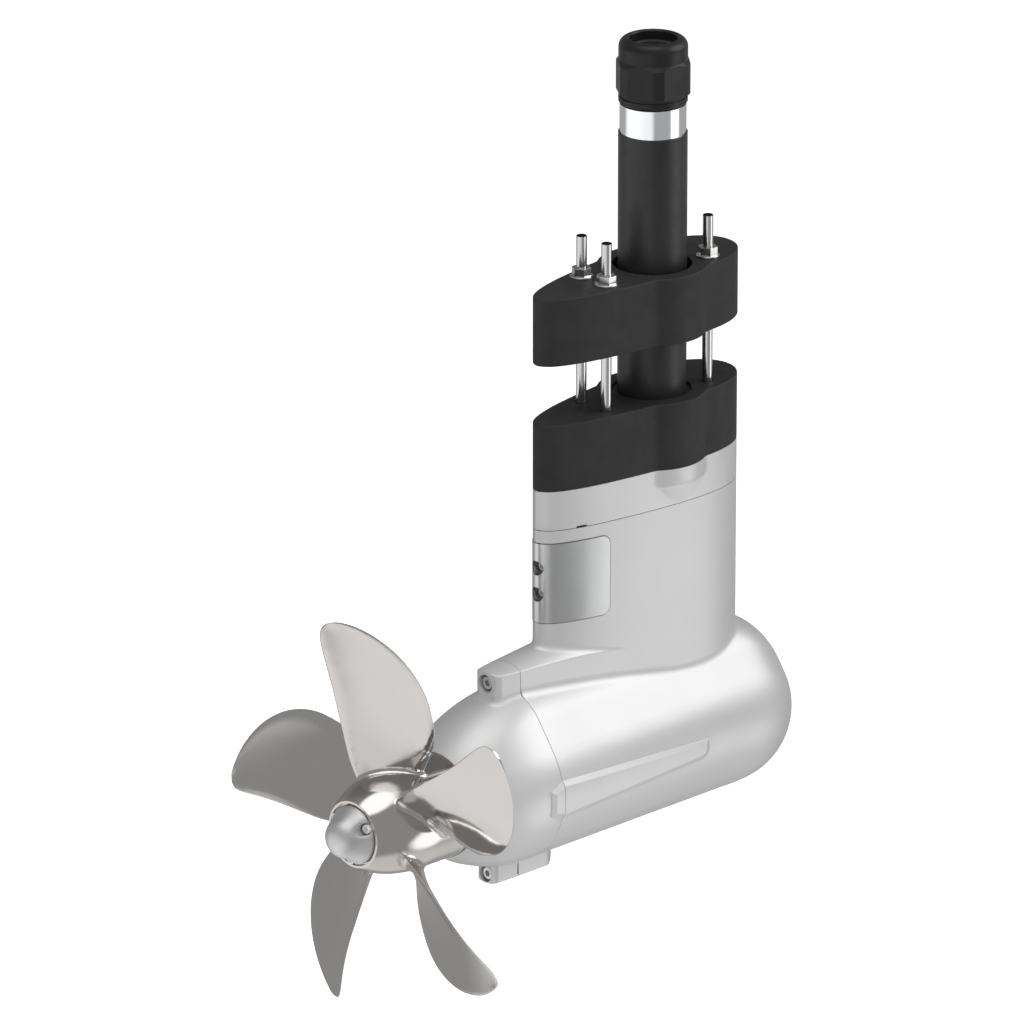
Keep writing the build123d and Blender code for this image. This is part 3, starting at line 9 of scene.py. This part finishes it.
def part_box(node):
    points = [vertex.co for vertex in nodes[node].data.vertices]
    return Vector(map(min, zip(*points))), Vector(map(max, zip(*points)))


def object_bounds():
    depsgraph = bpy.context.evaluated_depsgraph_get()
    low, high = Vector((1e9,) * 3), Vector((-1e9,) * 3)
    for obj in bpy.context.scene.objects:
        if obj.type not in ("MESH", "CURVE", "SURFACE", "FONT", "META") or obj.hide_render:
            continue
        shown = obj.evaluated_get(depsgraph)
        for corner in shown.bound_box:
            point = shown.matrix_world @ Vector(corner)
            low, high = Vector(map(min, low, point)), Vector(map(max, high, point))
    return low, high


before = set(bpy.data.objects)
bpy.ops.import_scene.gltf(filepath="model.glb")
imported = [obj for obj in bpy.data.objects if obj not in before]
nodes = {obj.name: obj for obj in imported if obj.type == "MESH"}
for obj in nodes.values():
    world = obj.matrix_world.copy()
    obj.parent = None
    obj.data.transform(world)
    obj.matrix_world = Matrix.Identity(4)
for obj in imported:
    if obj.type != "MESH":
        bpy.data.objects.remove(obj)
cad_low, cad_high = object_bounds()

CAMERA_PLACE = Vector((-5.562586, -5.455689, 2.737645))
CAMERA_FORWARD = Vector((0.66189694, 0.66690205, -0.34224858))
CAMERA_RIGHT = Vector((0.70976516, -0.70443837, 0.0))
CAMERA_SENSOR = 36.0         # millimetres
CAMERA_LENS = 386.53         # millimetres
CAMERA_CLIP = (0.1, 200.0)

FLOOR_DROP = 0.25            # the floor lies this far below the lowest blade tip
FLOOR_REACH = 40.0
FLOOR_GREY = 0.8
FLOOR_GLOW = 0.88            # added for the camera alone, so that the floor shows white

AMBIENT_LEVEL = 0.17         # the world's light on all that isn't mirrored
ROOM_LEVEL = 0.37            # the plain wall that metal mirrors
# Patches of that wall: azimuth, elevation, half angle where full, half angle where faded, level
ROOM_PATCHES = (
    (180, 40, 20, 50, 0.18),
    (110, -72, 20, 40, 0.80),
    (-120, -62, 10, 28, 0.95),
    (-22, -22, 12, 28, 0.93),
    (-70, -33, 24, 44, 1.05),
    (-15, 80, 18, 29, 1.7),
    (82, -27, 11, 22, 1.7),
)
STUDIO_CENTRE = Vector((-0.1, 0.0, -0.1))
# Name, azimuth, elevation, distance, width, height, radiance, and whether metal mirrors it
SOFTBOXES = (
    ("key_right", 97, 34, 2.2, 1.5, 1.5, 2.9, True),
    ("fill_front", 16, 28, 2.2, 1.6, 1.2, 2.5, False),
    ("fill_top", -60, 76, 2.2, 1.6, 1.6, 2.5, False),
    ("fill_low", -5, -28, 0.95, 0.7, 0.24, 3.2, False),
)

WHITE = (1.0, 1.0, 1.0)
SILVER = (0.635, 0.635, 0.635)
STEEL = (0.62, 0.61, 0.60)
# The studs' top end: its black colour, and how deep it reaches down from the top
STUD_TOP_BLACK = (0.004, 0.004, 0.004)
STUD_TOP_DEPTH = 0.0004

# The tube's bulge on the cap's flank: how far below the cap's top it starts and has run out
BULGE_TOP = 0.012
BULGE_FOOT = 0.0165
BULGE_HALF_WIDTH = 0.044
BULGE_FADE = 0.006
# The cap's edges are shaded softly from this far below the bulge's foot to this far above its top
SOFT_BELOW = 0.011
SOFT_ABOVE = 0.007
SOFT_FADE = 0.003
SOFT_ROUNDING = 0.005

BEVEL_SAMPLES = 6
NOISE_ROUGHNESS = 0.55
NOISE_LOW, NOISE_HIGH = 0.3, 0.7       # most of a noise's values lie between these
# Cosines between two normals: full effect at the first, none at the second
EDGE_COSINES = (0.88, 0.995)
FLANK_COSINES = (0.95, 0.99)
# The Mix node's first and second input and its output, for each kind of data
MIX_SOCKETS = {"FLOAT": (2, 3, 0), "VECTOR": (4, 5, 1), "RGBA": (6, 7, 2)}


class NodeTree:
    """A tree of shader nodes in the making."""

    def __init__(self, owner):
        owner.use_nodes = True
        self.tree = owner.node_tree

    def node(self, kind, **settings):
        made = self.tree.nodes.new("ShaderNode" + kind)
        for key, value in settings.items():
            setattr(made, key, value)
        return made

    def feed(self, socket, value):
        """Links value to the socket where it is an output, or else sets it there."""
        if isinstance(value, bpy.types.NodeSocket):
            self.tree.links.new(value, socket)
        elif socket.type == "RGBA":
            socket.default_value = (*value, 1.0)
        else:
            socket.default_value = value

    def spread(self, source, low, high, start=NOISE_LOW, end=NOISE_HIGH, **settings):
        """source, mapped from start..end to low..high and held there."""
        made = self.node("MapRange", clamp=True, **settings)
        for socket, value in (("From Min", start), ("From Max", end), ("To Min", low), ("To Max", high),
                              ("Value", source)):
            self.feed(made.inputs[socket], value)
        return made.outputs["Result"]

    def mix(self, share, first, second, kind="RGBA"):
        """first where share is 0 and second where it is 1."""
        made = self.node("Mix", data_type=kind)
        first_socket, second_socket, output = MIX_SOCKETS[kind]
        for socket, value in ((0, share), (first_socket, first), (second_socket, second)):
            self.feed(made.inputs[socket], value)
        return made.outputs[output]

    def product(self, first, second):
        made = self.node("Math", operation="MULTIPLY")
        self.feed(made.inputs[0], first)
        self.feed(made.inputs[1], second)
        return made.outputs[0]

    def dot(self, first, second):
        made = self.node("VectorMath", operation="DOT_PRODUCT")
        self.feed(made.inputs[0], first)
        self.feed(made.inputs[1], second)
        return made.outputs["Value"]


class Surface(NodeTree):
    """A material in the making: its shader, its coordinates and the nodes that feed them."""

    def __init__(self, name, metallic=0.0, **constants):
        self.material = bpy.data.materials.new(name)
        super().__init__(self.material)
        self.shader = self.tree.nodes["Principled BSDF"]
        self.shader.inputs["Metallic"].default_value = metallic
        for socket, value in constants.items():
            self.shader.inputs[socket.replace("_", " ")].default_value = value
        self.place = self.node("TexCoord").outputs["Object"]

    def noise(self, size, stretch=(1, 1, 1), detail=3.0, seed=0.0):
        """Noise whose features are about size wide, longer where stretch is above one."""
        scaled = self.node("Mapping", vector_type="POINT")
        scaled.inputs["Location"].default_value = (seed, seed * 0.7, seed * 1.3)
        scaled.inputs["Scale"].default_value = [1 / (size * s) for s in stretch]
        self.feed(scaled.inputs["Vector"], self.place)
        made = self.node("TexNoise", noise_dimensions="3D")
        for socket, value in (("Scale", 1.0), ("Detail", detail), ("Roughness", NOISE_ROUGHNESS),
                              ("Vector", scaled.outputs["Vector"])):
            self.feed(made.inputs[socket], value)
        return made.outputs["Fac"]

    def varied(self, low, high, size, seed):
        """A value that wanders between low and high, over features about size wide."""
        return self.spread(self.noise(size, seed=seed), low, high)

    def clouded(self, colour, swing, size, seed):
        """The colour, made darker and paler by swing, over features about size wide."""
        cloud = self.varied(0.0, 1.0, size, seed)
        return self.mix(cloud, tinted(colour, 1 - swing), tinted(colour, 1 + swing))

    def along(self, axis, start, end):
        """0 before start and 1 past end along an axis."""
        parts = self.node("SeparateXYZ")
        self.feed(parts.inputs[0], self.place)
        return self.spread(parts.outputs[axis], 0.0, 1.0, start, end)

    def band(self, axis, start, end, fade):
        """1 from start to end along an axis, and 0 from fade beyond them."""
        return self.product(self.along(axis, start - fade, start), self.along(axis, end + fade, end))

    def rounded(self, radius):
        """The normal, with the shading of edges softened over radius."""
        made = self.node("Bevel", samples=BEVEL_SAMPLES)
        made.inputs["Radius"].default_value = radius
        return made.outputs["Normal"]

    def edges(self, radius):
        """1 along edges sharper than radius and 0 on smooth ground."""
        facing = self.dot(self.rounded(radius), self.node("NewGeometry").outputs["Normal"])
        return self.spread(facing, 1.0, 0.0, *EDGE_COSINES)

    def mixed_normal(self, share, first, second):
        unit = self.node("VectorMath", operation="NORMALIZE")
        self.feed(unit.inputs[0], self.mix(share, first, second, "VECTOR"))
        return unit.outputs[0]

    def run_out(self, normal, foot, top):
        """normal, turned to the flank's from top down, so that a bulge on the flank runs out."""
        parts = self.node("SeparateXYZ")
        self.feed(parts.inputs[0], self.place)
        side = self.node("Math", operation="SIGN")
        self.feed(side.inputs[0], parts.outputs["Y"])
        flank = self.node("CombineXYZ")
        self.feed(flank.inputs["Y"], side.outputs[0])
        middle = self.band("X", -BULGE_HALF_WIDTH, BULGE_HALF_WIDTH, BULGE_FADE)
        off_flank = self.spread(self.dot(normal, flank.outputs[0]), 1.0, 0.0, *FLANK_COSINES)
        share = self.product(self.product(self.along("Z", top, foot), middle), off_flank)
        return self.mixed_normal(share, normal, flank.outputs[0])

    def complete(self, colour, roughness, relief, depth, normal):
        """The material, with relief of this depth on the normal."""
        bump = self.node("Bump")
        bump.inputs["Strength"].default_value = 1.0
        bump.inputs["Distance"].default_value = depth
        self.feed(bump.inputs["Height"], relief)
        self.feed(bump.inputs["Normal"], normal)
        self.feed(self.shader.inputs["Base Color"], colour)
        self.feed(self.shader.inputs["Roughness"], roughness)
        self.feed(self.shader.inputs["Normal"], bump.outputs["Normal"])
        return self.material


def tinted(colour, by):
    return tuple(min(1.0, c * by) for c in colour)


def painted_casting(name, colour, seed, bulge=None):
    """Satin silver paint on a casting: metallic flakes and a faint orange peel.

    bulge holds the heights between which a bulge on the flank runs out into it."""
    s = Surface(name, metallic=0.35, Coat_Weight=0.25, Coat_Roughness=0.3)
    base = s.clouded(colour, 0.015, size=0.09, seed=seed)
    flakes = s.noise(size=0.0004, detail=1.0, seed=seed + 3)
    base = s.mix(s.spread(flakes, 0.0, 0.12), base, tinted(colour, 1.18))
    rough = s.varied(0.39, 0.43, size=0.05, seed=seed + 1)
    peel = s.noise(size=0.0011, detail=2.0, seed=seed)
    normal = s.rounded(radius=0.0004)
    if bulge:
        foot, top = bulge
        soft = s.band("Z", foot - SOFT_BELOW, top + SOFT_ABOVE, SOFT_FADE)
        normal = s.mixed_normal(soft, normal, s.rounded(SOFT_ROUNDING))
        normal = s.run_out(normal, foot, top)
    return s.complete(base, rough, peel, depth=0.000006, normal=normal)


def moulded(name, colour, roughness, grain, depth, seed, sheen=0.5):
    """Moulded plastic, rubber or lacquer: a fine grain, edges worn a little paler."""
    s = Surface(name, Specular_IOR_Level=sheen)
    base = s.clouded(colour, 0.15, size=0.03, seed=seed)
    worn = s.product(s.edges(radius=0.0008), s.varied(0.1, 0.6, size=0.006, seed=seed + 2))
    base = s.mix(worn, base, tinted(colour, 2.2))
    rough = s.varied(roughness - 0.06, roughness + 0.06, size=0.012, seed=seed + 1)
    relief = s.noise(grain, detail=2.0, seed=seed)
    return s.complete(base, rough, relief, depth, s.rounded(radius=0.0005))


def worked_metal(name, colour, roughness, grain, stretch, depth, seed, rounding=0.0003, swing=0.05,
                 clouds=0.045, metallic=1.0):
    """Bare metal with the marks of its machining or polishing, drawn out along stretch."""
    s = Surface(name, metallic=metallic)
    base = s.clouded(colour, clouds, size=0.03, seed=seed)
    marks = s.noise(grain, stretch=stretch, detail=2.0, seed=seed)
    base = s.mix(s.spread(marks, 0.0, 0.25), base, tinted(colour, 0.82))
    rough = s.varied(roughness - swing, roughness + swing, size=0.015, seed=seed + 1)
    return s.complete(base, rough, marks, depth, s.rounded(rounding))


def stud_steel(name, colour, top):
    """Polished stud steel with faint marks along it, and a black top end."""
    s = Surface(name, Specular_IOR_Level=0.05)
    marks = s.noise(size=0.0006, stretch=(1, 1, 30), detail=2.0, seed=2.0)
    base = s.mix(s.spread(marks, 0.0, 0.25), colour, tinted(colour, 0.8))
    # The top end is black, rough and not metallic.
    top_end = s.along("Z", top - STUD_TOP_DEPTH, top - STUD_TOP_DEPTH / 2)
    s.feed(s.shader.inputs["Metallic"], s.spread(top_end, 1.0, 0.0, 0.0, 1.0))
    rough = s.spread(top_end, 0.16, 0.7, 0.0, 1.0)
    base = s.mix(top_end, base, STUD_TOP_BLACK)
    return s.complete(base, rough, marks, depth=0.000003, normal=s.rounded(radius=0.0002))


def anode_plate(name, colour):
    """Satin plate metal: upright brushing, a slow cloud in its tone, and painted shade that darkens its
    rim.
    """
    s = Surface(name, metallic=1.0)
    base = s.clouded(colour, 0.02, size=0.05, seed=5.0)
    brushing = s.noise(size=0.0005, stretch=(1, 1, 60), detail=2.0, seed=5.0)
    base = s.mix(s.spread(brushing, 0.0, 0.3), base, tinted(colour, 0.9))
    # Painted shade: the plate's rim is darkened to a quarter of its colour, standing in for the shade in
    # the gap around the plate.
    base = s.mix(s.edges(radius=0.001), base, tinted(colour, 0.25))
    rough = s.varied(0.28, 0.34, size=0.03, seed=6.0)
    return s.complete(base, rough, brushing, depth=0.0000015, normal=s.rounded(radius=0.0003))


def dress(material, *names):
    """Gives the material to every slot of these nodes."""
    for name in names:
        mesh = nodes[name].data
        if not mesh.materials:
            mesh.materials.append(material)
        for i in range(len(mesh.materials)):
            mesh.materials[i] = material


def studio_floor(height):
    """A pale floor that keeps the object's shadow and shows white where nothing shades it."""
    corners = [(x * FLOOR_REACH, y * FLOOR_REACH, height) for x, y in ((-1, -1), (1, -1), (1, 1), (-1, 1))]
    mesh = bpy.data.meshes.new("studio_floor")
    mesh.from_pydata(corners, [], [(0, 1, 2, 3)])
    floor = bpy.data.objects.new("studio_floor", mesh)
    bpy.context.scene.collection.objects.link(floor)
    material = bpy.data.materials.new("studio_floor")
    made = NodeTree(material)
    made.tree.nodes.clear()
    pale = made.node("BsdfDiffuse")
    made.feed(pale.inputs["Color"], (FLOOR_GREY, FLOOR_GREY, FLOOR_GREY))
    glow = made.node("Emission")
    made.feed(glow.inputs["Color"], WHITE)
    to_camera = made.node("LightPath").outputs["Is Camera Ray"]
    made.feed(glow.inputs["Strength"], made.product(to_camera, FLOOR_GLOW))
    both = made.node("AddShader")
    made.feed(both.inputs[0], pale.outputs[0])
    made.feed(both.inputs[1], glow.outputs[0])
    made.feed(made.node("OutputMaterial").inputs["Surface"], both.outputs[0])
    mesh.materials.append(material)
    floor.visible_glossy = False


def direction(azimuth, elevation):
    """A unit vector; azimuth 0 is towards the camera and 90 to its right."""
    a, e = math.radians(azimuth), math.radians(elevation)
    towards = -Vector((CAMERA_FORWARD.x, CAMERA_FORWARD.y, 0)).normalized()
    level = towards * math.cos(a) + CAMERA_RIGHT * math.sin(a)
    return level * math.cos(e) + Vector((0, 0, math.sin(e)))


def softbox(name, azimuth, elevation, distance, width, height, radiance, mirrored):
    """An area light, turned towards the object; metal mirrors it only where mirrored is set."""
    light = bpy.data.lights.new(name, "AREA")
    light.shape = "RECTANGLE"
    light.size = width
    light.size_y = height
    light.energy = radiance * math.pi * width * height
    lamp = bpy.data.objects.new(name, light)
    lamp.location = STUDIO_CENTRE + direction(azimuth, elevation) * distance
    lamp.rotation_euler = direction(azimuth, elevation).to_track_quat("Z", "Y").to_euler()
    lamp.visible_camera = False
    lamp.visible_glossy = mirrored
    bpy.context.scene.collection.objects.link(lamp)


def studio_world():
    """White where the camera sees it; metal mirrors a grey room with pale and dark walls."""
    world = bpy.data.worlds.new("studio")
    bpy.context.scene.world = world
    made = NodeTree(world)
    made.tree.nodes.clear()
    where = made.node("TexCoord").outputs["Generated"]
    level = ROOM_LEVEL
    for azimuth, elevation, full, faded, patch_level in ROOM_PATCHES:
        nearness = made.dot(where, direction(azimuth, elevation))
        rim, core = math.cos(math.radians(faded)), math.cos(math.radians(full))
        share = made.spread(nearness, 0.0, 1.0, rim, core, interpolation_type="SMOOTHSTEP")
        level = made.mix(share, level, patch_level, "FLOAT")

    def background(strength):
        shader = made.node("Background")
        made.feed(shader.inputs["Color"], WHITE)
        made.feed(shader.inputs["Strength"], strength)
        return shader.outputs[0]

    rays = made.node("LightPath")
    result = background(AMBIENT_LEVEL)
    for kind, strength in (("Glossy", level), ("Transmission", 1.0), ("Camera", 1.0)):
        shown = made.node("MixShader")
        for socket, value in ((0, rays.outputs[f"Is {kind} Ray"]), (1, result), (2, background(strength))):
            made.feed(shown.inputs[socket], value)
        result = shown.outputs[0]
    made.feed(made.node("OutputWorld").inputs["Surface"], result)


def studio_camera():
    camera = bpy.data.objects.new("camera", bpy.data.cameras.new("camera"))
    bpy.context.scene.collection.objects.link(camera)
    camera.data.sensor_width = CAMERA_SENSOR
    camera.data.lens = CAMERA_LENS
    camera.data.clip_start, camera.data.clip_end = CAMERA_CLIP
    up = CAMERA_RIGHT.cross(CAMERA_FORWARD)
    turn = Matrix((CAMERA_RIGHT, up, -CAMERA_FORWARD)).transposed()
    camera.matrix_world = Matrix.Translation(CAMERA_PLACE) @ turn.to_4x4()
    bpy.context.scene.camera = camera


dress(painted_casting("paint_pod", SILVER, 0.0), "pod_housing")
dress(painted_casting("paint_aft", SILVER, 5.0), "aft_housing")
cap_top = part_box("strut_cap")[1][2]
dress(painted_casting("paint_cap", SILVER, 9.0, (cap_top - BULGE_FOOT, cap_top - BULGE_TOP)), "strut_cap")

# Colour, roughness, size and depth of the grain, seed, and for some the sheen
dress(moulded("block_plastic", (0.0205, 0.0205, 0.021), 0.6, 0.0009, 0.00004, 1.0, 0.35),
      "lower_block", "upper_block")
dress(moulded("sleeve_plastic", (0.0155, 0.0155, 0.016), 0.42, 0.0006, 0.000012, 2.0), "tube_sleeve")
dress(moulded("gland_plastic", (0.0125, 0.0125, 0.013), 0.36, 0.0007, 0.00001, 3.0, 0.3),
      "gland_body", "gland_nut")
dress(moulded("seal_rubber", (0.012, 0.012, 0.012), 0.6, 0.0005, 0.00002, 4.0),
      "tube_seal", "gland_gasket", "gland_seal", "cap_gasket", "housing_seal", "shaft_seals")
dress(moulded("claw_plastic", (0.05, 0.05, 0.048), 0.45, 0.0006, 0.000015, 5.0), "gland_claw")

# Colour, roughness, size, stretch and depth of the marks, and seed
dress(worked_metal("tube_metal", (0.97, 0.98, 1.0), 0.12, 0.0009, (1, 1, 0.12), 0.000003, 1.0,
                   clouds=0.01), "mounting_tube")
dress(stud_steel("stud_metal", (0.66, 0.66, 0.665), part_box("clamp_studs")[1][2]), "clamp_studs")
dress(worked_metal("fastener_metal", STEEL, 0.22, 0.0006, (1, 1, 0.4), 0.000006, 3.0),
      "flange_nuts", "housing_bolts", "cap_screws", "bracket_screws", "board_posts")
dress(worked_metal("screw_metal", (0.88, 0.88, 0.88), 0.42, 0.0006, (1, 1, 1), 0.000006, 3.5,
                   metallic=0.3), "strut_anode_screws", "cone_screws")
dress(worked_metal("propeller_steel", (0.62, 0.598, 0.582), 0.1, 0.0005, (1, 1, 1), 0.0000006, 4.0,
                   rounding=0.0006, swing=0.006, clouds=0.01), "propeller")
dress(anode_plate("anode_plate_metal", (0.66, 0.665, 0.67)), "strut_anode")
dress(worked_metal("anode_cone_metal", (0.75, 0.75, 0.755), 0.5, 0.0012, (1, 1, 1), 0.00001, 6.0,
                   rounding=0.006), "cone_anode")
dress(worked_metal("shaft_steel", STEEL, 0.25, 0.0006, (0.2, 1, 1), 0.000004, 7.0),
      "prop_shaft", "prop_washer", "prop_nut", "drive_pin", "bearing_clip")
dress(worked_metal("bearing_metal", (0.66, 0.66, 0.66), 0.15, 0.0005, (0.3, 1, 1), 0.000003, 8.0),
      "aft_bearing_outer", "aft_bearing_inner", "aft_bearing_balls",
      "fore_bearing_outer", "fore_bearing_inner", "fore_bearing_balls")
dress(worked_metal("core_metal", (0.33, 0.34, 0.36), 0.4, 0.0005, (0.05, 1, 1), 0.00003, 9.0),
      "stator_core", "rotor_core")
dress(worked_metal("magnet_metal", (0.70, 0.70, 0.69), 0.28, 0.001, (1, 1, 1), 0.000004, 10.0),
      "rotor_magnets", "encoder_magnet")
dress(worked_metal("bracket_metal", (0.62, 0.62, 0.62), 0.5, 0.0015, (1, 1, 1), 0.00003, 11.0),
      "motor_bracket", "capacitors")
dress(worked_metal("copper", (0.62, 0.25, 0.12), 0.3, 0.0012, (12, 1, 1), 0.00012, 12.0),
      "stator_coils", "phase_leads")

# Plastics inside, with the columns of those above
dress(moulded("cage_plastic", (0.48, 0.42, 0.28), 0.5, 0.0006, 0.00001, 6.0),
      "aft_bearing_cage", "fore_bearing_cage")
dress(moulded("board_mask", (0.012, 0.07, 0.03), 0.35, 0.0012, 0.00002, 7.0),
      "controller_board", "encoder_board")
dress(moulded("module_epoxy", (0.02, 0.02, 0.02), 0.4, 0.0005, 0.00001, 8.0), "power_modules")
dress(moulded("terminal_plastic", (0.03, 0.12, 0.05), 0.4, 0.0008, 0.00001, 9.0), "cable_terminals")

studio_floor(cad_low.z - FLOOR_DROP)
studio_world()
for box in SOFTBOXES:
    softbox(*box)
bpy.context.scene.view_settings.view_transform = "Standard"
studio_camera()
